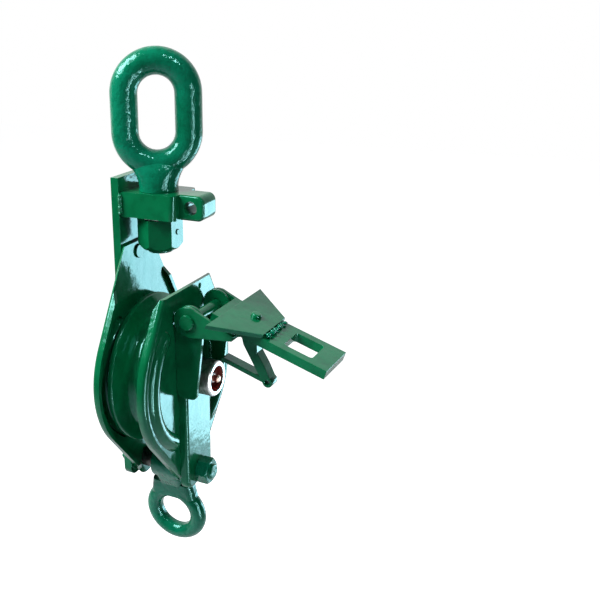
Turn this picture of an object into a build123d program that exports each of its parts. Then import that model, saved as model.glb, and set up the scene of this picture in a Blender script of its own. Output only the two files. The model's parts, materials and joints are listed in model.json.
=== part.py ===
from build123d import *
import os
from math import acos, asin, atan2, cos, degrees, hypot, radians, sin

# Single-sheave snatch block with a swivelling oval eye and a hinged side gate, shown open.
# Millimetres. The block hangs from its eye: the origin is the crown of the eye's hole,
# where a hook bears. +Z is up, -Y is the gate side, +X is to the right seen from there.

# heights, measured up from the axle
axle_z = -292.0
bolt_height = -105.0
strap_foot = -119.0
cut_height = 91.5
hinge_height = 68.0
rivet_height = 121.0
back_top = 131.0
crosshead_height = 172.5
strap_top = 198.0
eye_foot = 185.0
eye_crown = -axle_z

# straps and side plates
strap_width = 50.0
strap_thickness = 9.0
strap_corner = 9.0
cheek_face = 30.0
plate = 4.0
cheek_inner = cheek_face - plate
strap_face = cheek_face + strap_thickness
belly_radius = 87.0
cheek_foot_radius = 19.0
rim_depth = 9.0
rim_round = 5.0
rim_foot = -103.0
rim_top = 80.0
bead_radius = 70.5
bead_curve = 10.6
bead_height = 5.0
bead_foot_angle = 31.0
bead_top_angle = {"back_cheek": 34.0, "front_cheek": 43.0}

# sheave and axle
sheave_radius = 76.0
sheave_half_width = 19.6
groove_radius = 10.5
groove_root = 56.0
hub_radius = 29.0
hub_half_length = 23.2
web_half_width = 8.0
rim_inner = 50.0
bush_radius = 21.0
axle_radius = 15.0
axle_head_radius = 18.0
axle_head_length = 21.0
axle_recess_radius = 12.5
axle_recess_depth = 7.0
thread_radius = 12.0
axle_end = 68.0
side_washer_thickness = 2.5
running_gap = 0.25
fit_gap = 0.05
face_gap = 0.3

# swivel eye and crosshead
eye_bar = 26.0
eye_hole_width = 34.0
eye_hole_height = 69.0
shank_radius = 19.0
stem_radius = 13.5
eye_turn = -60.75
swivel_nut_flats = 38.0
swivel_nut_height = 30.0
swivel_washer_thickness = 2.0
crosshead_width = 46.0
crosshead_thickness = 24.0
crosshead_front = 29.0
tongue_width = 26.0
tongue_end = 55.0
lock_hole_radius = 6.8
lock_hole_reach = 41.0
tenon_radius = 12.0

# gate: distances along it are measured from the hinge axis
open_angle = 108.0
hinge_reach = 46.5
hinge_pin_radius = 5.5
pin_head_radius = 7.8
pin_head_thickness = 3.0
ear_radius = 14.8
lug_thickness = 4.0
lug_foot = -14.0
gate_root = 18.0
gate_end = 138.5
gate_cheek_base = 28.0
gate_cheek_top = 72.0
slot_centre = 105.0
slot_length = 29.0
slot_width = 31.0
yoke_start = 21.0
yoke_end = 48.0
handle_drop = 36.5
handle_start = 36.0
handle_tip = 85.0
handle_plate = 4.6
handle_foot = 60.0
yoke_thickness = 4.0
yoke_inside = 29.6
handle_width = 13.0

gate_cheek_half_width = 58.0
gate_rivet_along = 52.0
weld_leg = 5.0
handle_eye_radius = 5.2
groove_mouth = 14.6
axle_nut_flats = 36.0
axle_nut_height = 22.0
axle_washer_thickness = 3.0
lower_nut_flats = 24.0
lower_nut_height = 13.0
bolt_head_height = 10.5
becket_boss_length = 31.0
nameplate_height = 70.0
nameplate_width = 46.0
nameplate_length = 62.0
nameplate_thickness = 1.2
tenon_weld_radius = 15.5
tenon_weld_height = 6.0
rivet_radius = 5.0
rivet_head_radius = 8.0
rivet_head_height = 4.0
front_strap_top = 58.0
cheek_hole_x = 21.8
cheek_hole_height = 85.7
cheek_hole_radius = 3.2
cross_pin_radius = 3.0

# lower bolt and becket ring
bolt_radius = 8.0
sleeve_radius = 11.0
becket_boss_radius = 18.0
becket_turn = 6.0
becket_slide = 5.0
ring_drop = 61.0
ring_radius = 26.3
ring_bar_radius = 8.5
shoulder_drop = 22.5
shoulder_width = 46.0

# axle plane: local x is X, local y is height above the axle, its normal faces the gate side
axle_plane = Plane(origin=(0, 0, axle_z), x_dir=(1, 0, 0), z_dir=(0, -1, 0))
# side plane: local x is Y, local y is height above the axle
side_plane = Plane(origin=(0, 0, axle_z), x_dir=(0, 1, 0), z_dir=(1, 0, 0))
axle_axis = Axis((0, 0, axle_z), (0, 1, 0))

# eye plane: turned about the swivel axis to where the eye hangs at rest
eye_plane = Plane(
    origin=(0, 0, axle_z),
    x_dir=(cos(radians(eye_turn)), sin(radians(eye_turn)), 0),
    z_dir=(sin(radians(eye_turn)), -cos(radians(eye_turn)), 0),
)

# becket frame: on the lower bolt, slid towards the gate side and swung a little towards +X
hang_plane = Plane(
    origin=(0, -becket_slide, axle_z + bolt_height),
    x_dir=(cos(radians(becket_turn)), 0, sin(radians(becket_turn))),
    z_dir=(0, -1, 0),
)

# gate frame: "along" runs from the hinge to the gate's end, "outward" is the gate's outer side
along = (0, -sin(radians(open_angle)), cos(radians(open_angle)))
outward = (0, -cos(radians(open_angle)), -sin(radians(open_angle)))
hinge_point = (0, -hinge_reach, axle_z + hinge_height)
gate_plane = Plane(origin=hinge_point, x_dir=(1, 0, 0), z_dir=outward)
gate_side = Plane(origin=hinge_point, x_dir=along, z_dir=(1, 0, 0))
gate_strap_outer = strap_face - hinge_reach
gate_strap_inner = cheek_face - hinge_reach


def level(height):
    """Horizontal plane at a height above the axle."""
    return Plane.XY.offset(axle_z + height)


def facing(distance):
    """Upright plane at a distance from the middle of the block, positive to the gate side."""
    return axle_plane.offset(distance)


def strap_profile(top):
    """Flat bar, its lower corners rounded below the lower bolt."""
    with BuildSketch() as profile:
        with Locations((0, (strap_foot + top) / 2)):
            bar = Rectangle(strap_width, top - strap_foot)
        fillet(bar.vertices().group_by(Axis.Y)[0], strap_corner)
    return profile.sketch


def cheek_profile(top):
    """Peach-shaped side plate: round foot, round belly, straight shoulders up to the strap."""
    flank = degrees(asin((belly_radius - cheek_foot_radius) / -bolt_height))
    crest_distance = hypot(strap_width / 2, top)
    shoulder = degrees(atan2(top, strap_width / 2) - acos(belly_radius / crest_distance))
    with BuildSketch() as profile:
        with BuildLine():
            foot = CenterArc((0, bolt_height), cheek_foot_radius, -90, 90 - flank)
            belly = CenterArc((0, 0), belly_radius, -flank, flank + shoulder)
            Line(foot @ 1, belly @ 0)
            Line(belly @ 1, (strap_width / 2, top))
            Line((strap_width / 2, top), (0, top))
            mirror(about=Plane.YZ)
        make_face()
    return profile.sketch


def bead_section(curve):
    """Round-topped section of the pressed bead, cut level with the plate's inner face."""
    centre = cheek_face + bead_height - bead_curve
    with BuildSketch() as profile:
        with Locations((bead_radius, centre)):
            Circle(curve)
        with Locations((bead_radius, cheek_inner + bead_curve)):
            Rectangle(2 * bead_curve, 2 * bead_curve, mode=Mode.INTERSECT)
    return profile.sketch


def bead_plane(side, angle):
    """Plane through the axle and a point of the bead, its local y pointing out of the block."""
    c, s = cos(radians(angle)), sin(radians(angle))
    return Plane(origin=(0, 0, axle_z), x_dir=(c, 0, s), z_dir=(-s * side, 0, c * side))


# oval eye forged in one with its shank and swivel stem
eye_centre = eye_crown - eye_hole_height / 2
eye_bend = (eye_hole_width + eye_bar) / 2
eye_straight = (eye_hole_height - eye_hole_width) / 2
eye_base = eye_centre - eye_straight - eye_bend
crosshead_bottom = crosshead_height - crosshead_thickness / 2
crosshead_top = crosshead_height + crosshead_thickness / 2
stem_bottom = crosshead_bottom - swivel_nut_height - 6
with BuildPart() as swivel_eye:
    for side in (-1, 1):
        middle = eye_plane.from_local_coords((side * eye_bend, eye_centre, 0))
        with BuildSketch(Plane(origin=middle, z_dir=(0, 0, 1))):
            Circle(eye_bar / 2)
        extrude(amount=eye_straight, both=True)
        end = eye_plane.from_local_coords((eye_bend, eye_centre + side * eye_straight, 0))
        turn = eye_plane.from_local_coords((0, eye_centre + side * eye_straight, 0))
        with BuildSketch(Plane(origin=end, z_dir=(0, 0, 1))):
            Circle(eye_bar / 2)
        revolve(axis=Axis(turn, eye_plane.z_dir), revolution_arc=side * 180)
    for height, wide, deep in (
        (crosshead_top + face_gap, shank_radius, shank_radius - 0.1),
        (eye_foot + 6, shank_radius, shank_radius - 0.1),
        (eye_base - 6, eye_bend - 6, shank_radius - 2),
        (eye_base + 3, eye_bend - 0.5, eye_bar / 2 - 1),
    ):
        with BuildSketch(level(height)):
            Ellipse(wide, deep, rotation=eye_turn)
    loft()
    with BuildSketch(level(stem_bottom)):
        Circle(stem_radius)
    extrude(amount=eye_foot - stem_bottom)
    chamfer(swivel_eye.faces().sort_by(Axis.Z)[0].edges(), 1.5)
    with BuildSketch(axle_plane):
        with Locations((0, crosshead_bottom - swivel_nut_height / 2 - face_gap)):
            Circle(cross_pin_radius)
    extrude(amount=2 * stem_radius, both=True, mode=Mode.SUBTRACT)
swivel_eye.part.label = "swivel_eye"

with BuildPart() as swivel_washer:
    with BuildSketch(level(crosshead_bottom - face_gap - swivel_washer_thickness)):
        Circle(shank_radius)
        Circle(stem_radius + fit_gap, mode=Mode.SUBTRACT)
    extrude(amount=swivel_washer_thickness)
swivel_washer.part.label = "swivel_washer"

# hexagonal swivel nut, its corners turned off at the lower end, cross-drilled for a pin
nut_bottom = crosshead_bottom - face_gap - swivel_washer_thickness - swivel_nut_height
with BuildPart() as swivel_nut:
    with BuildSketch(level(nut_bottom)):
        RegularPolygon(swivel_nut_flats / 2, 6, major_radius=False)
    extrude(amount=swivel_nut_height)
    with BuildSketch(side_plane):
        with BuildLine():
            Polyline(
                (0, nut_bottom),
                (swivel_nut_flats / 2 - 1, nut_bottom),
                (swivel_nut_flats / 2 + 4, nut_bottom + 6),
                (swivel_nut_flats / 2 + 4, nut_bottom + swivel_nut_height),
                (0, nut_bottom + swivel_nut_height),
                close=True,
            )
        make_face()
    revolve(axis=Axis.Z, mode=Mode.INTERSECT)
    with BuildSketch(level(nut_bottom)):
        Circle(stem_radius + fit_gap)
    extrude(amount=swivel_nut_height, mode=Mode.SUBTRACT)
    with BuildSketch(axle_plane):
        with Locations((0, crosshead_bottom - swivel_nut_height / 2 - face_gap)):
            Circle(cross_pin_radius)
    extrude(amount=2 * swivel_nut_flats, both=True, mode=Mode.SUBTRACT)
swivel_nut.part.label = "swivel_nut"

with BuildPart() as swivel_cross_pin:
    with BuildSketch(axle_plane):
        with Locations((0, crosshead_bottom - swivel_nut_height / 2 - face_gap)):
            Circle(cross_pin_radius - fit_gap)
    extrude(amount=swivel_nut_flats / 2 + 1, both=True)
    chamfer(swivel_cross_pin.edges().filter_by(GeomType.CIRCLE), 0.6)
swivel_cross_pin.part.label = "swivel_cross_pin"

# crosshead: block under the eye, its tongue goes through the slot of the closed gate
with BuildPart() as crosshead:
    with BuildSketch(level(crosshead_bottom)):
        with Locations((0, (cheek_face - crosshead_front) / 2)):
            Rectangle(crosshead_width, cheek_face + crosshead_front)
    extrude(amount=crosshead_thickness)
    fillet(crosshead.edges().filter_by(Axis.Z).group_by(Axis.Y)[0], 6)
    with BuildSketch(level(crosshead_bottom)):
        with Locations((0, -(tongue_end + 10) / 2)):
            Rectangle(tongue_width, tongue_end - 10)
    extrude(amount=crosshead_thickness)
    fillet(crosshead.faces().sort_by(Axis.Y)[0].edges().filter_by(Axis.X), 7)
    fillet(crosshead.edges().filter_by(Axis.Z).group_by(Axis.Y)[0], 2.5)
    with BuildSketch(level(crosshead_bottom)):
        Circle(stem_radius + running_gap)
    extrude(amount=crosshead_thickness, mode=Mode.SUBTRACT)
    with BuildSketch(side_plane):
        with Locations((-lock_hole_reach, crosshead_height)):
            Circle(lock_hole_radius)
    extrude(amount=tongue_width, both=True, mode=Mode.SUBTRACT)
    with BuildSketch(facing(-cheek_face)):
        with Locations((0, crosshead_height)):
            Circle(tenon_radius)
    extrude(amount=-strap_thickness)
crosshead.part.label = "crosshead"

# side plates, each with its rim turned in and two pressed beads beside the strap
cheeks = {}
for name, side in (("back_cheek", 1), ("front_cheek", -1)):
    with BuildPart() as cheek:
        with BuildSketch(facing(-side * cheek_face)):
            add(cheek_profile(back_top))
        extrude(amount=side * rim_depth)
        outer_face = cheek.faces().filter_by(Axis.Y).sort_by(Axis.Y)[-1 if side > 0 else 0]
        rims = outer_face.edges().filter_by(lambda e: e.center().Z < axle_z + back_top - 1)
        fillet(rims, rim_round)
        with BuildSketch(facing(-side * cheek_inner)):
            offset(cheek_profile(back_top), amount=-plate)
        extrude(amount=side * rim_depth, mode=Mode.SUBTRACT)
        rim_edge = side * (cheek_face - rim_depth - 1)
        for inside, outside in ((rim_foot, 2 * bolt_height), (rim_top, 2 * back_top)):
            slope = 12 if outside > inside else -12
            with BuildSketch(side_plane):
                with BuildLine():
                    Polyline(
                        (side * cheek_inner, inside + slope),
                        (rim_edge, inside),
                        (rim_edge, outside),
                        (side * cheek_inner, outside),
                        close=True,
                    )
                make_face()
            extrude(amount=2 * belly_radius, both=True, mode=Mode.SUBTRACT)
        low = bead_foot_angle - 90
        high = 90 - bead_top_angle[name]
        for curve, mode in ((bead_curve, Mode.ADD), (bead_curve - plate, Mode.SUBTRACT)):
            for start, stop in ((low, high), (180 - high, 180 - low)):
                with BuildSketch(bead_plane(side, start)):
                    add(bead_section(curve))
                revolve(axis=axle_axis, revolution_arc=start - stop, mode=mode)
                for angle in (start, stop):
                    c, s = cos(radians(angle)), sin(radians(angle))
                    tip = (bead_radius * c, 0, axle_z + bead_radius * s)
                    with BuildSketch(bead_plane(side, angle)):
                        add(bead_section(curve))
                        with Locations((bead_radius - bead_curve, cheek_face)):
                            Rectangle(2 * bead_curve, 4 * bead_curve, mode=Mode.SUBTRACT)
                    revolve(axis=Axis(tip, (0, 1, 0)), mode=mode)
        with BuildSketch(facing(0)):
            Circle(axle_radius + fit_gap)
            with Locations((0, bolt_height)):
                Circle(bolt_radius + fit_gap)
            if side > 0:
                with Locations((0, rivet_height)):
                    Circle(rivet_radius + fit_gap)
            else:
                with Locations((cheek_hole_x, cheek_hole_height)):
                    Circle(cheek_hole_radius)
                with Locations((0, cut_height + 50)):
                    Rectangle(4 * belly_radius, 100)
        extrude(amount=2 * cheek_face, both=True, mode=Mode.SUBTRACT)
    cheek.part.label = name
    cheeks[name] = cheek.part

# straps: heavy flat bars outside the side plates
with BuildPart() as back_strap:
    with BuildSketch(facing(-cheek_face)):
        add(strap_profile(strap_top))
        Circle(axle_radius + fit_gap, mode=Mode.SUBTRACT)
        with Locations((0, bolt_height)):
            Circle(bolt_radius + fit_gap, mode=Mode.SUBTRACT)
        with Locations((0, crosshead_height)):
            Circle(tenon_radius + fit_gap, mode=Mode.SUBTRACT)
        with Locations((0, rivet_height)):
            Circle(rivet_radius + fit_gap, mode=Mode.SUBTRACT)
    extrude(amount=-strap_thickness)
    chamfer(back_strap.faces().sort_by(Axis.Y)[-1].outer_wire().edges(), 0.8)
back_strap.part.label = "back_strap"

with BuildPart() as front_strap:
    with BuildSketch(facing(cheek_face)):
        add(strap_profile(front_strap_top))
        Circle(axle_radius + fit_gap, mode=Mode.SUBTRACT)
        with Locations((0, bolt_height)):
            Circle(bolt_radius + fit_gap, mode=Mode.SUBTRACT)
    extrude(amount=strap_thickness)
    fillet(front_strap.faces().sort_by(Axis.Y)[0].outer_wire().edges(), 3.5)
front_strap.part.label = "front_strap"

# hinge lugs: two plates welded to the edges of the front strap, each ending in an ear
lugs = {}
for name, side in (("left_hinge_lug", -1), ("right_hinge_lug", 1)):
    with BuildPart() as lug:
        with BuildSketch(side_plane.offset(side * strap_width / 2)):
            with BuildLine():
                outline = Polyline(
                    (-cheek_face - 0.2, lug_foot),
                    (-52, lug_foot),
                    (-59, 45),
                    (-hinge_reach - ear_radius, hinge_height),
                    (-hinge_reach, hinge_height + 3),
                    (-cheek_face - 0.2, front_strap_top),
                    close=True,
                )
            make_face()
            fillet(outline.vertices().group_by(Axis.Y)[0], 6)
            with Locations((-hinge_reach, hinge_height)):
                Circle(ear_radius)
                Circle(hinge_pin_radius + fit_gap, mode=Mode.SUBTRACT)
        extrude(amount=side * lug_thickness)
    lug.part.label = name
    lugs[name] = lug.part

with BuildPart() as hinge_pin:
    half_pin = yoke_inside + yoke_thickness + face_gap
    with BuildSketch(gate_side):
        Circle(hinge_pin_radius)
    extrude(amount=half_pin, both=True)
    for side in (-1, 1):
        with BuildSketch(gate_side.offset(side * half_pin)):
            Circle(pin_head_radius)
        extrude(amount=side * pin_head_thickness)
    chamfer(hinge_pin.faces().filter_by(Axis.X).group_by(Axis.X)[0].edges(), 0.8)
    chamfer(hinge_pin.faces().filter_by(Axis.X).group_by(Axis.X)[-1].edges(), 0.8)
hinge_pin.part.label = "hinge_pin"

# gate: strap with a slot for the tongue, carried by a yoke on the hinge pin
with BuildPart() as gate_strap:
    with BuildSketch(gate_plane.offset(gate_strap_inner)):
        with Locations((0, (gate_root + gate_end) / 2)):
            Rectangle(strap_width, gate_end - gate_root)
        with Locations((0, slot_centre)):
            Rectangle(slot_width, slot_length, mode=Mode.SUBTRACT)
        with Locations((0, gate_rivet_along)):
            Circle(rivet_radius + fit_gap, mode=Mode.SUBTRACT)
    extrude(amount=strap_thickness)
    corners = gate_strap.edges().filter_by(Axis(hinge_point, outward))
    fillet(corners.filter_by(lambda e: abs(e.center().X) < strap_width / 2 - 1), 3)
gate_strap.part.label = "gate_strap"

with BuildPart() as gate_yoke:
    for side in (-1, 1):
        with BuildSketch(gate_side.offset(side * yoke_inside)):
            with BuildLine():
                Polyline(
                    (0, ear_radius),
                    (6, ear_radius - 0.6),
                    (yoke_end, gate_strap_outer + yoke_thickness),
                    (yoke_end, gate_strap_outer - 1),
                    (0, -ear_radius),
                    close=True,
                )
            make_face()
            Circle(ear_radius)
            Circle(hinge_pin_radius + running_gap, mode=Mode.SUBTRACT)
        extrude(amount=side * yoke_thickness)
    with BuildSketch(gate_plane.offset(gate_strap_outer)):
        with Locations((0, (yoke_start + yoke_end) / 2)):
            Rectangle(2 * (yoke_inside + yoke_thickness), yoke_end - yoke_start)
    extrude(amount=yoke_thickness)
gate_yoke.part.label = "gate_yoke"

# tapered piece on the gate's inner face, closing the side plate above its cut edge
with BuildPart() as gate_cheek:
    with BuildSketch(gate_plane.offset(gate_strap_inner)):
        with BuildLine():
            Polyline(
                (-gate_cheek_half_width, gate_cheek_base),
                (gate_cheek_half_width, gate_cheek_base),
                (strap_width / 2, gate_cheek_top),
                (-strap_width / 2, gate_cheek_top),
                close=True,
            )
        make_face()
        with Locations((0, gate_rivet_along)):
            Circle(rivet_radius + fit_gap, mode=Mode.SUBTRACT)
    extrude(amount=-plate)
gate_cheek.part.label = "gate_cheek"

with BuildPart() as gate_rivet:
    with BuildSketch(gate_plane.offset(gate_strap_outer)):
        with Locations((0, gate_rivet_along)):
            Circle(rivet_radius)
    extrude(amount=-strap_thickness - plate - rivet_head_height)
    rivet_end = gate_rivet.edges().filter_by(GeomType.CIRCLE).sort_by(Axis(hinge_point, outward))[0]
    fillet(rivet_end, 2)
gate_rivet.part.label = "gate_rivet"

# weld run across the narrow end of the tapered piece
with BuildPart() as gate_weld:
    weld_line = Plane(
        origin=gate_side.from_local_coords((gate_cheek_top, gate_strap_inner, 0)),
        x_dir=along,
        z_dir=(1, 0, 0),
    )
    with BuildSketch(weld_line.offset(-strap_width / 2 + 4)):
        with BuildLine():
            Polyline((0.05, -0.05), (weld_leg, -0.05), (0.05, -plate), close=True)
        make_face()
    extrude(amount=strap_width - 8)
    for count in range(5):
        lump = (count - 2) * 8.4
        with BuildSketch(weld_line.offset(lump)):
            with BuildLine():
                arc = CenterArc((0.05, -0.05), weld_leg + 0.6, -90, 90)
                Line(arc @ 1, (0.05, -0.05))
                Line((0.05, -0.05), arc @ 0)
            make_face()
        extrude(amount=2.6, both=True)
gate_weld.part.label = "gate_weld"

# grip on the gate's outer side: a tapered leg, a round eye at its corner and a bar bent back
with BuildPart() as gate_handle:
    bar_middle = handle_drop - handle_plate / 2
    with BuildSketch(gate_side):
        with BuildLine():
            leg = Polyline(
                (yoke_end - 5, gate_strap_outer + yoke_thickness),
                (yoke_end + 0.1, gate_strap_outer + yoke_thickness),
                (yoke_end + 0.1, gate_strap_outer),
                (handle_foot, gate_strap_outer),
                (handle_foot + 6, 10),
                (handle_foot + 17, 19.5),
                (handle_tip + 4, bar_middle - 2),
                (handle_tip - 6, bar_middle + 1),
                (handle_tip - 17, 25),
                (yoke_end + 2.5, 9),
                close=True,
            )
        make_face()
        with Locations(((handle_start + handle_tip) / 2, bar_middle)):
            Rectangle(handle_tip - handle_start, handle_plate)
        with Locations((handle_start, bar_middle)):
            Circle(handle_plate / 2)
        with Locations((handle_tip, bar_middle)):
            Circle(handle_eye_radius)
            Circle(handle_eye_radius / 2, mode=Mode.SUBTRACT)
    extrude(amount=handle_width / 2, both=True)
gate_handle.part.label = "gate_handle"

# sheave with a round-bottomed rope groove, thin web and long hub, turning with its bush
with BuildPart() as sheave:
    with BuildSketch(side_plane):
        with Locations((0, (bush_radius + hub_radius) / 2)):
            Rectangle(2 * hub_half_length, hub_radius - bush_radius)
        with Locations((0, (bush_radius + sheave_radius) / 2)):
            Rectangle(2 * web_half_width, sheave_radius - bush_radius)
        with Locations((0, (rim_inner + sheave_radius) / 2)):
            Rectangle(2 * sheave_half_width, sheave_radius - rim_inner)
        with Locations((0, groove_root + groove_radius)):
            Circle(groove_radius, mode=Mode.SUBTRACT)
        with BuildLine():
            Polyline(
                (-groove_radius + 0.5, groove_root + groove_radius - 2.5),
                (groove_radius - 0.5, groove_root + groove_radius - 2.5),
                (groove_mouth, sheave_radius + 1),
                (-groove_mouth, sheave_radius + 1),
                close=True,
            )
        make_face(mode=Mode.SUBTRACT)
    revolve(axis=axle_axis)
    lips = sheave.edges().filter_by(GeomType.CIRCLE).filter_by(lambda e: e.radius > sheave_radius - 0.1)
    fillet(lips, 1.5)
sheave.part.label = "sheave"

with BuildPart() as sheave_bush:
    with BuildSketch(facing(-hub_half_length)):
        Circle(bush_radius - fit_gap)
        Circle(axle_radius + running_gap, mode=Mode.SUBTRACT)
    extrude(amount=2 * hub_half_length)
sheave_bush.part.label = "sheave_bush"

washers = {}
for name, side in (("back_side_washer", 1), ("front_side_washer", -1)):
    with BuildPart() as washer:
        with BuildSketch(facing(-side * cheek_inner)):
            Circle(hub_radius + 2)
            Circle(axle_radius + fit_gap, mode=Mode.SUBTRACT)
        extrude(amount=side * side_washer_thickness)
    washer.part.label = name
    washers[name] = washer.part

# axle: collar head with a dished end on the gate side, threaded end with a nut at the back
with BuildPart() as axle:
    with BuildSketch(side_plane):
        with BuildLine():
            Polyline(
                (-strap_face - axle_head_length + axle_recess_depth, 0),
                (-strap_face - axle_head_length + axle_recess_depth, axle_recess_radius),
                (-strap_face - axle_head_length, axle_recess_radius + 0.6),
                (-strap_face - axle_head_length, axle_head_radius - 1.5),
                (-strap_face - axle_head_length + 1.5, axle_head_radius),
                (-strap_face, axle_head_radius),
                (-strap_face, axle_radius),
                (strap_face - 0.5, axle_radius),
                (strap_face - 0.5, thread_radius),
                (axle_end - 2, thread_radius),
                (axle_end, thread_radius - 2),
                (axle_end, 0),
                close=True,
            )
        make_face()
    revolve(axis=axle_axis)
axle.part.label = "axle"

with BuildPart() as grease_nipple:
    floor = -strap_face - axle_head_length + axle_recess_depth
    with BuildSketch(side_plane):
        with BuildLine():
            Polyline(
                (floor, 0),
                (floor, 5),
                (floor - 3, 5),
                (floor - 3, 3.2),
                (floor - 6, 3.2),
                (floor - 7.5, 4),
                (floor - 9.5, 2.6),
                (floor - 10, 0),
                close=True,
            )
        make_face()
    revolve(axis=axle_axis)
grease_nipple.part.label = "grease_nipple"

with BuildPart() as axle_washer:
    with BuildSketch(facing(-strap_face)):
        Circle(axle_nut_flats / 2 + 4)
        Circle(thread_radius + fit_gap, mode=Mode.SUBTRACT)
    extrude(amount=-axle_washer_thickness)
axle_washer.part.label = "axle_washer"

# hexagon nuts: corners turned off at both ends
nuts = {}
axle_nut_foot = strap_face + axle_washer_thickness
for name, foot, height, flats, hole, side, centre, turn in (
    ("axle_nut", axle_nut_foot, axle_nut_height, axle_nut_flats, thread_radius, 1, 0, 30),
    ("lower_bolt_nut", strap_face, lower_nut_height, lower_nut_flats, bolt_radius, -1, bolt_height, 0),
):
    with BuildPart() as nut:
        with BuildSketch(facing(-side * foot)):
            with Locations((0, centre)):
                RegularPolygon(flats / 2, 6, major_radius=False, rotation=turn)
        extrude(amount=-side * height)
        with BuildSketch(side_plane):
            with BuildLine():
                Polyline(
                    (side * foot, centre),
                    (side * foot, centre + flats / 2),
                    (side * (foot + 1.2), centre + flats / 2 * 1.16),
                    (side * (foot + height - 1.8), centre + flats / 2 * 1.16),
                    (side * (foot + height), centre + flats / 2 - 0.6),
                    (side * (foot + height), centre),
                    close=True,
                )
            make_face()
        revolve(axis=Axis((0, 0, axle_z + centre), (0, 1, 0)), mode=Mode.INTERSECT)
        with BuildSketch(facing(-side * foot)):
            with Locations((0, centre)):
                Circle(hole + fit_gap)
        extrude(amount=-side * height, mode=Mode.SUBTRACT)
    nut.part.label = name
    nuts[name] = nut.part

# lower bolt with the sleeve that the becket hangs on
with BuildPart() as lower_bolt:
    with BuildSketch(facing(-strap_face)):
        with Locations((0, bolt_height)):
            RegularPolygon(lower_nut_flats / 2, 6, major_radius=False)
    extrude(amount=-bolt_head_height)
    chamfer(lower_bolt.faces().sort_by(Axis.Y)[-1].edges(), 1)
    with BuildSketch(facing(-strap_face)):
        with Locations((0, bolt_height)):
            Circle(bolt_radius)
    extrude(amount=2 * strap_face + lower_nut_height + 3)
    chamfer(lower_bolt.faces().sort_by(Axis.Y)[0].edges(), 1.2)
lower_bolt.part.label = "lower_bolt"

with BuildPart() as bolt_sleeve:
    with BuildSketch(facing(-cheek_inner)):
        with Locations((0, bolt_height)):
            Circle(sleeve_radius)
            Circle(bolt_radius + fit_gap, mode=Mode.SUBTRACT)
    extrude(amount=2 * cheek_inner)
bolt_sleeve.part.label = "bolt_sleeve"

# becket: boss on the lower bolt, broad neck and a ring for the rope's dead end
ring_middle = hang_plane.from_local_coords((0, -ring_drop, 0))
with BuildPart() as becket:
    with BuildSketch(hang_plane):
        with Locations((0, -ring_drop + ring_radius)):
            Circle(ring_bar_radius)
    revolve(axis=Axis(ring_middle, hang_plane.x_dir))
    with BuildSketch(hang_plane.offset(-becket_boss_length / 2)):
        Circle(becket_boss_radius)
    extrude(amount=becket_boss_length)
    for ends in (
        ((8, 1.8 * becket_boss_radius, becket_boss_length - 1), (shoulder_drop + 3, 2 * ring_bar_radius, 30)),
        (
            (shoulder_drop, 2.1 * ring_bar_radius, shoulder_width),
            (ring_drop - ring_radius + 5, 1.94 * ring_bar_radius, shoulder_width + 7),
        ),
    ):
        for drop, thick, broad in ends:
            middle = hang_plane.from_local_coords((0, -drop, 0))
            with BuildSketch(Plane(origin=middle, x_dir=hang_plane.x_dir, z_dir=hang_plane.y_dir)):
                RectangleRounded(thick, broad, 7)
        loft()
    with BuildSketch(Plane(origin=ring_middle, x_dir=(0, 1, 0), z_dir=hang_plane.x_dir)):
        Circle(ring_radius - ring_bar_radius + 0.6)
    extrude(amount=3 * ring_bar_radius, both=True, mode=Mode.SUBTRACT)
    with BuildSketch(hang_plane.offset(-becket_boss_length / 2)):
        Circle(sleeve_radius + running_gap)
    extrude(amount=becket_boss_length, mode=Mode.SUBTRACT)
becket.part.label = "becket"

# back strap fittings: riveted side plate, blank plate with four small rivets, tenon weld
with BuildPart() as strap_rivet:
    for foot, radius, length in (
        (cheek_inner - 2, rivet_radius + 2, 2),
        (cheek_inner - 2, rivet_radius, strap_face - cheek_inner + 2),
        (strap_face, rivet_head_radius, rivet_head_height),
    ):
        with BuildSketch(facing(-foot)):
            with Locations((0, rivet_height)):
                Circle(radius)
        extrude(amount=-length)
    fillet(strap_rivet.edges().sort_by(Axis.Y)[-1], 3)
strap_rivet.part.label = "strap_rivet"

with BuildPart() as nameplate:
    with BuildSketch(facing(-strap_face)):
        with Locations((0, nameplate_height)):
            RectangleRounded(nameplate_width, nameplate_length, 3)
            with GridLocations(nameplate_width - 8, nameplate_length - 8, 2, 2):
                Circle(1.5 + fit_gap, mode=Mode.SUBTRACT)
    extrude(amount=-nameplate_thickness)
nameplate.part.label = "nameplate"

plate_rivets = {}
for count, (column, row) in enumerate(((-1, 1), (1, 1), (-1, -1), (1, -1)), 1):
    with BuildPart() as plate_rivet:
        x = column * (nameplate_width / 2 - 4)
        z = nameplate_height + row * (nameplate_length / 2 - 4)
        with BuildSketch(facing(-strap_face)):
            with Locations((x, z)):
                Circle(1.5)
        extrude(amount=-nameplate_thickness)
        with BuildSketch(facing(-strap_face - nameplate_thickness)):
            with Locations((x, z)):
                Circle(2.6)
        extrude(amount=-1.2)
        fillet(plate_rivet.edges().sort_by(Axis.Y)[-1], 0.8)
    plate_rivet.part.label = f"nameplate_rivet_{count}"
    plate_rivets[plate_rivet.part.label] = plate_rivet.part

with BuildPart() as tenon_weld:
    with BuildSketch(facing(-strap_face)):
        with Locations((0, crosshead_height)):
            Circle(tenon_weld_radius)
    extrude(amount=-tenon_weld_height)
    fillet(tenon_weld.edges().sort_by(Axis.Y)[-1], tenon_weld_height - 0.5)
tenon_weld.part.label = "tenon_weld"

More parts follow.
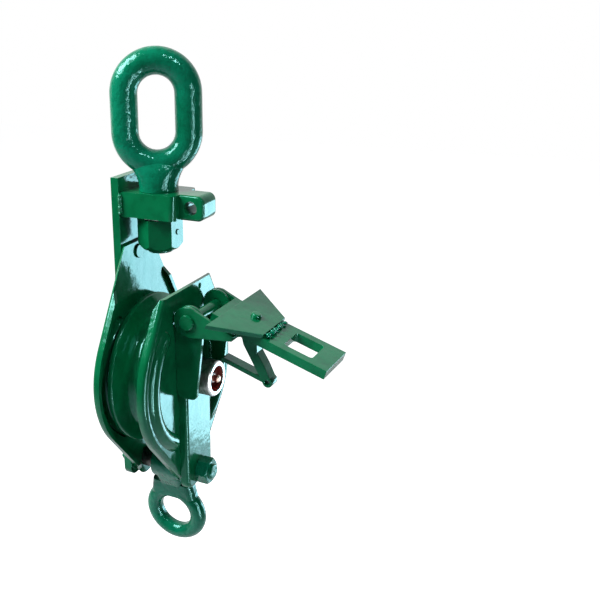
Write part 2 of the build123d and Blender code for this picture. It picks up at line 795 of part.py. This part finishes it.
os.makedirs("parts", exist_ok=True)
single_parts = (
    swivel_eye, swivel_washer, swivel_nut, swivel_cross_pin, crosshead, back_strap, front_strap,
    hinge_pin, gate_strap, gate_yoke, gate_cheek, gate_rivet, gate_weld, gate_handle, sheave,
    sheave_bush, axle, grease_nipple, axle_washer, lower_bolt, bolt_sleeve, becket, strap_rivet,
    nameplate, tenon_weld,
)
for single in single_parts:
    export_step(single.part, f"parts/{single.part.label}.step")
for group in (cheeks, lugs, washers, nuts, plate_rivets):
    for name, shape in group.items():
        export_step(shape, f"parts/{name}.step")
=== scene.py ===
import json
from math import cos, pi, radians, sin

import bmesh
import bpy
from mathutils import Matrix, Vector


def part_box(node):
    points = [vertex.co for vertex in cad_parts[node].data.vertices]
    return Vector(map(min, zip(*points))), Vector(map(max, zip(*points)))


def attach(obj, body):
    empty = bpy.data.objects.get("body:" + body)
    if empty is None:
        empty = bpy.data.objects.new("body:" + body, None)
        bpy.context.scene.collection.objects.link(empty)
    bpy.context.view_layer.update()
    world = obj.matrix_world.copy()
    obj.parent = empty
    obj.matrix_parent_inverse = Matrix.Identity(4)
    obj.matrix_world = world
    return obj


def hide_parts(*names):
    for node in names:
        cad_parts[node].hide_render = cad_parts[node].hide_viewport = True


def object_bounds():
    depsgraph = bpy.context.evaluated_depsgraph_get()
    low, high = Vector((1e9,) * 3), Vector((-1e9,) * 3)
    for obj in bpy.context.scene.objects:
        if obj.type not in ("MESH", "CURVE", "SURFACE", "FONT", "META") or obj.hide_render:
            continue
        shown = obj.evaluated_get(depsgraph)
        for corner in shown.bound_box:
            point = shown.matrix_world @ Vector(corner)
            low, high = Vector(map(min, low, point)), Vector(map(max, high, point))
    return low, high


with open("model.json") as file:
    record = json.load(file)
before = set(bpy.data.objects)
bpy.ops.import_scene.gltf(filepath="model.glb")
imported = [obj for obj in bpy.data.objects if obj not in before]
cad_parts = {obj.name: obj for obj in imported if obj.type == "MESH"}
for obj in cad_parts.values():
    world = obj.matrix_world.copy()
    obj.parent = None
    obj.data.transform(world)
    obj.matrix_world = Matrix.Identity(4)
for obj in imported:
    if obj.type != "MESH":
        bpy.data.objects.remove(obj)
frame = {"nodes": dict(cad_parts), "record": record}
cad_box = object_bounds()

MM = 0.001
X, Y, Z = range(3)


def middle_of(name, axis):
    """Middle of a CAD node's box along one axis."""
    low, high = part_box(name)
    return (low[axis] + high[axis]) / 2


# places worked out from the frame
axle_front, axle_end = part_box("axle")[0][Y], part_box("axle")[1][Y]
nut_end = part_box("axle_nut")[1][Y]
bolt_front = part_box("lower_bolt")[0][Y]
bolt_nut_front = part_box("lower_bolt_nut")[0][Y]
bolt_z = middle_of("bolt_sleeve", Z)
hinge_y = middle_of("hinge_pin", Y)
AXLE_Z = -0.292
AXLE_MIDDLE = Vector((0, 0, AXLE_Z))
HINGE = Vector((0, hinge_y, middle_of("hinge_pin", Z)))

# the gate as it stands open in the photograph
OPEN_ANGLE = radians(108)
ALONG = Vector((0, -sin(OPEN_ANGLE), cos(OPEN_ANGLE)))
OUTWARD = Vector((0, -cos(OPEN_ANGLE), -sin(OPEN_ANGLE)))


def gate_point(x, along, outward):
    """Row-frame point on the open gate, from millimetres measured at the hinge."""
    return HINGE + Vector((x * MM, 0, 0)) + ALONG * along * MM + OUTWARD * outward * MM


def block_point(x, y, above_axle):
    """Row-frame point, from millimetres off the middle planes and above the axle's line."""
    return Vector((x * MM, y * MM, AXLE_Z + above_axle * MM))


# materials


class Nodes:
    """Short hand for building the node tree of a material or world."""

    MIX_SOCKETS = (0, 6, 7)
    MIX_RESULT = 2

    def __init__(self, owner, output="ShaderNodeOutputMaterial"):
        self.owner = owner
        owner.use_nodes = True
        self.tree = owner.node_tree
        self.tree.nodes.clear()
        self.out = self.tree.nodes.new(output)

    def feed(self, source, socket):
        """Link another node's output, or set a plain value; colours get their alpha here."""
        if isinstance(source, bpy.types.NodeSocket):
            self.tree.links.new(source, socket)
        elif socket.type == "RGBA":
            socket.default_value = (*source, 1)
        else:
            socket.default_value = source

    def add(self, kind, **values):
        """New node; a value goes to the input of that name, or else to the node's setting."""
        node = self.tree.nodes.new(kind)
        for key, value in values.items():
            label = key.replace("_", " ")
            if label in node.inputs:
                self.feed(value, node.inputs[label])
            else:
                setattr(node, key, value)
        return node

    def work_out(self, kind, operation, first, second):
        """Number from a math or vector math node with two inputs."""
        node = self.add(kind, operation=operation)
        self.feed(first, node.inputs[0])
        self.feed(second, node.inputs[1])
        return node.outputs["Value"]

    def noise(self, scale, detail=2.0, roughness=0.5, stretch=(1, 1, 1)):
        place = self.add("ShaderNodeTexCoord")
        mapping = self.add("ShaderNodeMapping", Vector=place.outputs["Object"], Scale=stretch)
        texture = self.add("ShaderNodeTexNoise", Vector=mapping.outputs["Vector"],
                           Scale=scale, Detail=detail, Roughness=roughness)
        return texture.outputs["Fac"]

    def ramp(self, source, low, high, start=0.0, end=1.0):
        """Grey that runs from start, where the source is low, to end, where it is high."""
        ramp = self.add("ShaderNodeValToRGB", Fac=source)
        for element, place, value in zip(ramp.color_ramp.elements, (low, high), (start, end)):
            element.position = place
            element.color = (value, value, value, 1)
        return ramp.outputs["Color"]

    def mix(self, factor, first, second):
        mixer = self.add("ShaderNodeMix", data_type="RGBA")
        for source, number in zip((factor, first, second), self.MIX_SOCKETS):
            self.feed(source, mixer.inputs[number])
        return mixer.outputs[self.MIX_RESULT]

    def bump(self, height, strength, distance, **values):
        return self.add("ShaderNodeBump", Height=height, Strength=strength, Distance=distance,
                        **values).outputs["Normal"]

    def mix_shaders(self, factor, first, second):
        mixer = self.add("ShaderNodeMixShader")
        for source, socket in zip((factor, first.outputs[0], second.outputs[0]), mixer.inputs):
            self.feed(source, socket)
        return mixer

    def done(self, shader):
        """Join the shader to the output; hand back the material or world."""
        self.feed(shader.outputs[0], self.out.inputs[0])
        return self.owner


def darker(colour, share):
    return tuple(value * share for value in colour)


FINE_MARKS = 0.1 * MM
PAINT_LUMPS = 0.9 * MM
PAINT_GRAIN = 0.5 * MM
CHIP_COLOUR = (0.10, 0.16, 0.14)
RED_DEEP = (0.20, 0.010, 0.008)
RED_SPECULAR = 0.15


def paint(name, deep, bright, roughness=0.2, lump=0.35, lump_scale=110, grain=0.12, chips=0.0,
          specular=0.5, tint=(0.4, 1.0, 1.0)):
    """Thick glossy enamel: colour pools and thins, the surface is slightly uneven."""
    nodes = Nodes(bpy.data.materials.new(name))
    lumps = nodes.noise(lump_scale)
    colour = nodes.mix(nodes.ramp(nodes.noise(22, 3, 0.55), 0.3, 0.7), deep, bright)
    colour = nodes.mix(nodes.ramp(lumps, 0.3, 0.5, start=0.3, end=0.0), colour, darker(deep, 0.5))
    if chips:
        patches = nodes.ramp(nodes.noise(75, 3, 0.6), 0.6, 0.7)
        scratches = nodes.ramp(nodes.noise(420, 4, 0.7), 0.66, 0.74, end=chips)
        worn = nodes.work_out("ShaderNodeMath", "MULTIPLY", patches, scratches)
        colour = nodes.mix(worn, colour, CHIP_COLOUR)
    coarse = nodes.bump(lumps, lump, PAINT_LUMPS)
    return nodes.done(nodes.add(
        "ShaderNodeBsdfPrincipled",
        Base_Color=colour,
        Roughness=nodes.ramp(nodes.noise(60, 3), 0.3, 0.7, roughness * 0.75, roughness * 1.4),
        Specular_IOR_Level=specular,
        Specular_Tint=tint,
        Normal=nodes.bump(nodes.noise(420, 3, 0.6), grain, PAINT_GRAIN, Normal=coarse),
    ))


def metal(name, dark, light, roughness=0.3, stretch=(1, 1, 1), scale=300):
    """Bare or plated metal with machining marks and faint stains."""
    nodes = Nodes(bpy.data.materials.new(name))
    marks = nodes.noise(scale, 4, 0.6, stretch)
    stains = nodes.ramp(nodes.noise(90, 3, 0.6), 0.45, 0.75, end=0.35)
    colour = nodes.mix(nodes.ramp(marks, 0.35, 0.65), dark, light)
    return nodes.done(nodes.add(
        "ShaderNodeBsdfPrincipled",
        Base_Color=nodes.mix(stains, colour, darker(dark, 0.6)),
        Metallic=1.0,
        Roughness=nodes.ramp(marks, 0.3, 0.7, roughness * 0.7, roughness * 1.5),
        Normal=nodes.bump(marks, 0.25, FINE_MARKS),
    ))


def turned_steel():
    """Axle: bright turned end face, dull sides with grease and overspray."""
    nodes = Nodes(bpy.data.materials.new("turned_steel"))
    normal = nodes.add("ShaderNodeTexCoord").outputs["Normal"]
    across = nodes.add("ShaderNodeSeparateXYZ", Vector=normal)
    to_front = nodes.work_out("ShaderNodeMath", "MULTIPLY", across.outputs["Y"], -1.0)
    marks = nodes.noise(260, 4, 0.6, (1, 5, 1))
    grease = nodes.ramp(nodes.noise(120, 3, 0.6), 0.5, 0.62, end=0.7)
    side = nodes.mix(nodes.ramp(marks, 0.3, 0.7), (0.20, 0.22, 0.22), (0.46, 0.48, 0.47))
    side = nodes.mix(grease, side, (0.05, 0.12, 0.08))
    return nodes.done(nodes.add(
        "ShaderNodeBsdfPrincipled",
        Base_Color=nodes.mix(nodes.ramp(to_front, 0.55, 0.85), side, (0.84, 0.85, 0.86)),
        Metallic=1.0,
        Roughness=nodes.ramp(to_front, 0.5, 0.9, 0.42, 0.25),
        Normal=nodes.bump(marks, 0.3, FINE_MARKS),
    ))


def painted_nipple():
    """Grease nipple: plated stem, its flange under the red paint of the dish."""
    nodes = Nodes(bpy.data.materials.new("painted_nipple"))
    in_box = nodes.add("ShaderNodeTexCoord").outputs["Generated"]
    place = nodes.add("ShaderNodeSeparateXYZ", Vector=in_box)
    across = nodes.add("ShaderNodeCombineXYZ", X=place.outputs["X"], Z=place.outputs["Z"])
    off_line = nodes.work_out("ShaderNodeVectorMath", "DISTANCE", across.outputs[0], (0.5, 0, 0.5))
    stem_end, flange_start = 0.33, 0.38
    wear = nodes.noise(400, 3, 0.6)
    bare = nodes.mix(wear, (0.55, 0.36, 0.28), (0.85, 0.72, 0.62))
    coat = nodes.mix(wear, RED_DEEP, (0.42, 0.05, 0.03))
    return nodes.done(nodes.add(
        "ShaderNodeBsdfPrincipled",
        Base_Color=nodes.mix(nodes.ramp(off_line, stem_end, flange_start), bare, coat),
        Metallic=nodes.ramp(off_line, stem_end, flange_start, start=1.0, end=0.0),
        Roughness=nodes.ramp(wear, 0.3, 0.7, 0.3, 0.5),
        Specular_IOR_Level=RED_SPECULAR,
        Normal=nodes.bump(wear, 0.3, FINE_MARKS),
    ))


green = paint("green_enamel", deep=(0.001, 0.105, 0.036), bright=(0.002, 0.150, 0.055),
              roughness=0.13, lump_scale=90, grain=0.08, chips=0.5)
# thick lumpy enamel for the eye, the lower bolt and nut, the becket and the gate weld; its colours are set
# lighter and bluer than the plain green as painted light, a brighter lit copy of the same enamel
green_thick_lit = paint("green_enamel_thick_lit", deep=(0.001, 0.125, 0.058), bright=(0.003, 0.200, 0.108),
                    roughness=0.09, lump=0.8, lump_scale=190, grain=0.45)
red = paint("red_enamel", deep=RED_DEEP, bright=(0.36, 0.03, 0.015), roughness=0.5, lump=0.3,
            specular=RED_SPECULAR, tint=(1, 0.7, 0.6))
nylon = paint("nylon", deep=(0.25, 0.42, 0.62), bright=(0.4, 0.58, 0.75), roughness=0.35, lump=0.2)
zinc = metal("zinc_plate", dark=(0.52, 0.54, 0.57), light=(0.82, 0.84, 0.87), roughness=0.26)
plate = metal("bright_plate", dark=(0.66, 0.68, 0.71), light=(0.9, 0.91, 0.93), roughness=0.32,
              stretch=(1, 1, 14), scale=160)
bronze = metal("bronze", dark=(0.36, 0.22, 0.09), light=(0.62, 0.42, 0.2))
dark_steel = metal("oiled_steel", dark=(0.05, 0.05, 0.05), light=(0.14, 0.14, 0.13), roughness=0.4)

# a node's own material, or else its slot's
SLOT_MATERIAL = {"green_paint": green, "zinc": zinc, "bronze": bronze, "bright_plate": plate}
OWN_MATERIAL = {
    "axle": turned_steel(),
    "grease_nipple": painted_nipple(),
    "bolt_sleeve": dark_steel,
    "front_side_washer": dark_steel,
    "back_side_washer": dark_steel,
    "swivel_eye": green_thick_lit,
    "lower_bolt": green_thick_lit,
    "lower_bolt_nut": green_thick_lit,
    "becket": green_thick_lit,
}
node_slot = {part["node"]: part["material_slot"] for part in frame["record"]["subparts"]}
for name, node in frame["nodes"].items():
    node.data.materials.clear()
    node.data.materials.append(OWN_MATERIAL.get(name, SLOT_MATERIAL[node_slot[name]]))

# soft edges on the CAD nodes, in millimetres; the eye is round already
SOFT_EDGE = 0.7
SMALL_RIVET_EDGE = 0.2
OWN_EDGE = {"nameplate": 0.25, "sheave": 0.8, "swivel_eye": 0.0, "grease_nipple": 0.2}
for name, node in frame["nodes"].items():
    width = OWN_EDGE.get(name, SMALL_RIVET_EDGE if "rivet_" in name else SOFT_EDGE)
    if width:
        weld = node.modifiers.new("weld", "WELD")
        weld.merge_threshold = 2e-6
        flat = node.modifiers.new("flat", "DECIMATE")
        flat.decimate_type = "DISSOLVE"
        flat.angle_limit = radians(0.4)
        bevel = node.modifiers.new("bevel", "BEVEL")
        bevel.width = width * MM
        bevel.segments = 3
        bevel.limit_method = "ANGLE"
        bevel.angle_limit = radians(35)
        bevel.harden_normals = True

# mesh pieces


def finished(name, bm, material, body, smooth=True):
    """Mesh piece in the row frame, riding on its body."""
    bmesh.ops.recalc_face_normals(bm, faces=bm.faces)
    mesh = bpy.data.meshes.new(name)
    bm.to_mesh(mesh)
    bm.free()
    for face in mesh.polygons:
        face.use_smooth = smooth
    piece = bpy.data.objects.new(name, mesh)
    bpy.context.collection.objects.link(piece)
    mesh.materials.append(material)
    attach(piece, body)
    return piece


def join_rings(bm, here, there):
    """Band of faces between two rings that have as many points."""
    for count in range(len(here)):
        following = (count + 1) % len(here)
        bm.faces.new((here[count], here[following], there[following], there[count]))


def close_ends(bm, rings):
    bm.faces.new(rings[0])
    bm.faces.new(list(reversed(rings[-1])))


def lathe(name, start, outline, material, steps=48):
    """Ring turned about the axle's line; outline: millimetres past start, radius in millimetres."""
    bm = bmesh.new()
    rings = []
    for count in range(steps):
        angle = 2 * pi * count / steps
        rings.append([
            bm.verts.new((radius * MM * cos(angle), start + past * MM, AXLE_Z + radius * MM * sin(angle)))
            for past, radius in outline
        ])
    for here, there in zip(rings, rings[1:] + rings[:1]):
        join_rings(bm, here, there)
    bmesh.ops.remove_doubles(bm, verts=bm.verts, dist=1e-7)
    return finished(name, bm, material, "frame")


THREAD_STEPS = 36
THREAD_RUN_OUT = 6
THREAD_CREST = 0.35 * MM
THREAD_ROOT = 0.2 * MM
# where the ridge's foot and top end, as shares of the pitch
THREAD_FOOT, THREAD_TOP = 0.42, 0.08


def thread(name, height, start, end, radius, pitch, material, side=1):
    """Helical thread ridge standing on a plain cylinder about the Y direction."""
    bm = bmesh.new()
    turns = (end - start) / pitch
    total = int(THREAD_STEPS * turns)
    rings = []
    for count in range(total + 1):
        angle = 2 * pi * count / THREAD_STEPS
        along = start + pitch * count / THREAD_STEPS
        fade = min(1, count / THREAD_RUN_OUT, (total - count) / THREAD_RUN_OUT)
        root, crest = radius - THREAD_ROOT, radius + THREAD_CREST * fade
        section = ((-THREAD_FOOT, root), (-THREAD_TOP, crest), (THREAD_TOP, crest), (THREAD_FOOT, root))
        rings.append([
            bm.verts.new((reach * cos(angle), side * (along + share * pitch), height + reach * sin(angle)))
            for share, reach in section
        ])
    for here, there in zip(rings, rings[1:]):
        join_rings(bm, here, there)
    close_ends(bm, rings)
    return finished(name, bm, material, "frame", smooth=False)


WELD_STEP = 0.3 * MM
WELD_AROUND = 12
# how the bead swells along its run: share of its radius, rate per millimetre, first angle
WELD_WAVES = ((0.10, 2 * pi / 1.9, 0.0), (0.12, 0.9, 1.3), (0.07, 0.37, 0.4))


def weld_run(name, start, end, radius, body):
    """Lumpy weld bead with rounded ends from start to end; its radius is in millimetres."""
    line = end - start
    length = line.length
    direction = line.normalized()
    side = direction.orthogonal().normalized()
    up = direction.cross(side)
    steps = max(8, int(length / WELD_STEP))
    bm = bmesh.new()
    rings = []
    for count in range(steps + 1):
        share = count / steps
        run = share * length / MM
        lump = 1 + sum(swell * sin(rate * run + first) for swell, rate, first in WELD_WAVES)
        to_end = max(0.0, min(run, length / MM - run))
        reach = radius * MM * lump * min(1, (to_end / radius) ** 0.5 + 0.05)
        middle = start + line * share
        ring = []
        for step in range(WELD_AROUND):
            angle = 2 * pi * step / WELD_AROUND
            ring.append(bm.verts.new(middle + (side * cos(angle) + up * sin(angle)) * reach))
        rings.append(ring)
    for here, there in zip(rings, rings[1:]):
        join_rings(bm, here, there)
    close_ends(bm, rings)
    return finished(name, bm, green, body)


# threads on the axle's and the lower bolt's ends, and the nylon ring in the axle nut
thread("axle_thread", AXLE_Z, nut_end - 1.0 * MM, axle_end - 1.5 * MM,
       radius=12 * MM, pitch=3 * MM, material=zinc)
thread("lower_bolt_thread", bolt_z, -bolt_nut_front - 1.0 * MM, -bolt_front - 1.0 * MM,
       radius=8 * MM, pitch=2 * MM, material=green, side=-1)
INSERT_OUTLINE = ((-2.0, 12.1), (0.5, 12.3), (1.1, 13.5), (0.8, 15.0), (-2.0, 15.6))
lathe("axle_nut_insert", nut_end, INSERT_OUTLINE, nylon)

# red paint in the axle's dished end, round the nipple's flange
nipple_low, nipple_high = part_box("grease_nipple")
nipple_radius = (nipple_high[X] - nipple_low[X]) / 2 / MM + 0.1
DISH_PAINT_OUTLINE = (
    (6.6, nipple_radius), (6.6, 11.7), (5.8, 12.1), (0.8, 12.6),
    (0.8, 12.9), (7.2, 12.7), (7.2, nipple_radius),
)
lathe("axle_recess_paint", axle_front, DISH_PAINT_OUTLINE, red)

# weld runs, in millimetres: hinge lugs to the strap, crosshead to the back strap, yoke to the gate
WELD, WIDE_WELD = 2.2, 2.4
LUG_SIDE, LUG_FACE, LUG_LOW, LUG_HIGH = 25.5, -38.5, -11, 50
HEAD_SIDE, HEAD_FACE, HEAD_LOW, HEAD_HIGH = 23.5, 29.5, 162, 183
UNDER_SIDE, UNDER_HEIGHT = 21, 160.5
YOKE_SIDE, YOKE_FACE, YOKE_START, YOKE_STOP = 25.5, -7.2, 22, 46
YOKE_END_SIDE, YOKE_END_FACE, YOKE_END = 24, -7.0, 48.3
for side, word in ((-1, "left"), (1, "right")):
    lug_x, head_x, yoke_x = side * LUG_SIDE, side * HEAD_SIDE, side * YOKE_SIDE
    weld_run(f"lug_weld_{word}", block_point(lug_x, LUG_FACE, LUG_LOW),
             block_point(lug_x, LUG_FACE, LUG_HIGH), WELD, "frame")
    weld_run(f"crosshead_weld_{word}", block_point(head_x, HEAD_FACE, HEAD_LOW),
             block_point(head_x, HEAD_FACE, HEAD_HIGH), WIDE_WELD, "frame")
    weld_run(f"yoke_weld_{word}", gate_point(yoke_x, YOKE_START, YOKE_FACE),
             gate_point(yoke_x, YOKE_STOP, YOKE_FACE), WELD, "gate")
weld_run("yoke_end_weld", gate_point(-YOKE_END_SIDE, YOKE_END, YOKE_END_FACE),
         gate_point(YOKE_END_SIDE, YOKE_END, YOKE_END_FACE), WELD, "gate")
weld_run("crosshead_weld_under", block_point(-UNDER_SIDE, HEAD_FACE, UNDER_HEIGHT),
         block_point(UNDER_SIDE, HEAD_FACE, UNDER_HEIGHT), WIDE_WELD, "frame")

# weld across the tapered piece's narrow end, in millimetres
DROPS = 15
DROP_SPAN = 37.0
GATE_CHEEK_END = 72.0
STRAP_FACE = 30.0


def wander(middle, spread, rate, count, first=0.0):
    """Value that strays from its middle in a fixed way from drop to drop."""
    return middle + spread * sin(rate * count + first)


def weld_drops():
    """Overlapping uneven drops in a row."""
    strap_face = STRAP_FACE + hinge_y / MM
    bm = bmesh.new()
    for count in range(DROPS):
        x = wander(-DROP_SPAN / 2 + DROP_SPAN * count / (DROPS - 1), 0.9, 5.1, count)
        reach = wander(2.2, 1.1, 2.3, count, 0.7)
        size = Vector((
            wander(2.1, 0.7, 3.7, count),
            wander(2.3, 0.6, 1.9, count, 2),
            wander(2.0, 0.7, 4.3, count, 1),
        ))
        drop = bmesh.ops.create_icosphere(bm, subdivisions=4, radius=1.0)
        for vert in drop["verts"]:
            way = vert.co.copy()
            swell = 1 + 0.10 * sin(5 * way.x + 3 * way.y + count)
            swell += 0.07 * sin(9 * way.y - 4 * way.z + 2 * count)
            vert.co = gate_point(
                x + way.x * size.x * swell,
                GATE_CHEEK_END + reach + way.y * size.y * swell,
                strap_face - reach * 0.55 - 0.4 + way.z * size.z * swell,
            )
    return bm


weld_bead = finished("gate_weld_bead", weld_drops(), green_thick_lit, "gate")
fuse = weld_bead.modifiers.new("fuse", "REMESH")
fuse.mode = "VOXEL"
fuse.voxel_size = 0.0003
fuse.use_smooth_shade = True
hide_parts("gate_weld")

# floor and backdrop: BEHIND is the level way from the camera's side to the far side of the block
BEHIND = Vector((0.86, 0.50, 0.0))
FADE_START, FADE_END = 0.1, 0.7
FLOOR_DROP = 0.65
FLOOR_SIZE = 6
FLOOR_REACH = 4.0


def backdrop_rays(nodes, place, reach):
    """1 where the white backdrop shows: to the camera, through glass, and mirrored behind the block."""
    path = nodes.add("ShaderNodeLightPath")
    facing = nodes.work_out("ShaderNodeVectorMath", "DOT_PRODUCT", place, BEHIND)
    side = nodes.add("ShaderNodeMapRange", interpolation_type="SMOOTHSTEP", Value=facing,
                     From_Min=FADE_START * reach, From_Max=FADE_END * reach)
    shown = nodes.work_out("ShaderNodeMath", "MULTIPLY", path.outputs["Is Glossy Ray"],
                           side.outputs["Result"])
    for kind in ("Is Camera Ray", "Is Transmission Ray"):
        shown = nodes.work_out("ShaderNodeMath", "MAXIMUM", path.outputs[kind], shown)
    return shown


def floor_white():
    """Pale floor that also glows white where the backdrop shows."""
    nodes = Nodes(bpy.data.materials.new("floor_white"))
    diffuse = nodes.add("ShaderNodeBsdfDiffuse", Color=(0.9, 0.9, 0.92))
    glow = nodes.add("ShaderNodeEmission", Color=(0.94, 0.94, 0.94), Strength=1.0)
    both = nodes.add("ShaderNodeAddShader")
    nodes.feed(diffuse.outputs[0], both.inputs[0])
    nodes.feed(glow.outputs[0], both.inputs[1])
    spot = nodes.add("ShaderNodeNewGeometry").outputs["Position"]
    return nodes.done(nodes.mix_shaders(backdrop_rays(nodes, spot, FLOOR_REACH), diffuse, both))


bm = bmesh.new()
bmesh.ops.create_grid(bm, x_segments=2, y_segments=2, size=FLOOR_SIZE)
mesh = bpy.data.meshes.new("floor")
bm.to_mesh(mesh)
bm.free()
mesh.materials.append(floor_white())
floor = bpy.data.objects.new("floor", mesh)
floor.location = (0, 0, cad_box[0][Z] - FLOOR_DROP)
bpy.context.collection.objects.link(floor)

world = bpy.data.worlds.new("studio")
bpy.context.scene.world = world
nodes = Nodes(world, "ShaderNodeOutputWorld")
lit = nodes.add("ShaderNodeBackground", Color=(0.93, 0.96, 1.0), Strength=0.06)
shown = nodes.add("ShaderNodeBackground", Color=(1, 1, 1), Strength=1.0)
sky = nodes.add("ShaderNodeTexCoord").outputs["Generated"]
nodes.done(nodes.mix_shaders(backdrop_rays(nodes, sky, 1.0), lit, shown))

# lamps


def softbox(name, location, target, size, power, colour=(1, 1, 1)):
    """Rectangular area lamp that points at its target: metres and watts."""
    light = bpy.data.lights.new(name, "AREA")
    light.shape = "RECTANGLE"
    light.size, light.size_y = size
    light.energy = power
    light.color = colour
    lamp = bpy.data.objects.new(name, light)
    lamp.location = location
    lamp.rotation_euler = (target - location).to_track_quat("-Z", "Y").to_euler()
    bpy.context.collection.objects.link(lamp)
    return lamp


# a tall window low on the right of the photograph's view, with a dim one under it: faces turned to -Y
# mirror them
WINDOW_WAY = Vector((0.820, -0.460, -0.340)).normalized()
WINDOW_SIDE = Vector((0, 0, 1)).cross(WINDOW_WAY).normalized()
WINDOW_UP = WINDOW_WAY.cross(WINDOW_SIDE)
WINDOW_DISTANCE = 1.2
WINDOW_ASIDE = -0.03
WINDOW_WIDTH = 0.42
WINDOW_COLOUR = (0.54, 0.88, 1.0)
for name, height, raised, power in (("window", 0.60, 0.09, 7.4), ("window_foot", 0.14, -0.28, 0.4)):
    place = AXLE_MIDDLE + WINDOW_WAY * WINDOW_DISTANCE + WINDOW_SIDE * WINDOW_ASIDE + WINDOW_UP * raised
    softbox(name, place, place - WINDOW_WAY, (WINDOW_WIDTH, height), power, WINDOW_COLOUR)

# the others point at the block's middle; the two strips only draw highlights on the gloss
BLOCK_MIDDLE = Vector((0, 0, -0.22))
for name, way, away, size, power, fills in (
    ("key", (-0.42, 0.56, 0.72), 1.6, (0.9, 0.9), 56, True),
    ("strip", (-0.32, -0.90, -0.26), 1.4, (0.055, 1.3), 13, False),
    ("low_front", (-0.50, -0.80, -0.31), 1.4, (0.13, 0.9), 5, False),
    ("top_front", (-0.35, -0.60, 0.72), 1.6, (0.2, 0.2), 7, True),
):
    lamp = softbox(name, BLOCK_MIDDLE + Vector(way) * away, BLOCK_MIDDLE, size, power)
    lamp.visible_diffuse = fills

# the photograph's view: metres, degrees and millimetres of lens
CAMERA_AZIMUTH = radians(-60.75)
CAMERA_ELEVATION = radians(18.16)
CAMERA_ROLL = radians(-1.24)
CAMERA_DISTANCE = 0.9152
CAMERA_TARGET = Vector((0.01622, -0.02913, 0.08756 + AXLE_Z))
CAMERA_LENS = 55.64
CAMERA_SENSOR = 36
CAMERA_SHIFT = (0.1733, -0.0243)
back = Vector((
    sin(CAMERA_AZIMUTH) * cos(CAMERA_ELEVATION),
    -cos(CAMERA_AZIMUTH) * cos(CAMERA_ELEVATION),
    sin(CAMERA_ELEVATION),
))
level_right = Vector((cos(CAMERA_AZIMUTH), sin(CAMERA_AZIMUTH), 0))
level_up = back.cross(level_right)
right = level_right * cos(CAMERA_ROLL) + level_up * sin(CAMERA_ROLL)
up = level_up * cos(CAMERA_ROLL) - level_right * sin(CAMERA_ROLL)
lens = bpy.data.cameras.new("camera")
lens.lens = CAMERA_LENS
lens.sensor_width = CAMERA_SENSOR
lens.sensor_fit = "HORIZONTAL"
lens.shift_x, lens.shift_y = CAMERA_SHIFT
camera = bpy.data.objects.new("camera", lens)
view = Matrix((right, up, back)).transposed().to_4x4()
view.translation = CAMERA_TARGET + back * CAMERA_DISTANCE
camera.matrix_world = view
bpy.context.collection.objects.link(camera)

scene = bpy.context.scene
scene.view_settings.view_transform = "Standard"
scene.camera = camera
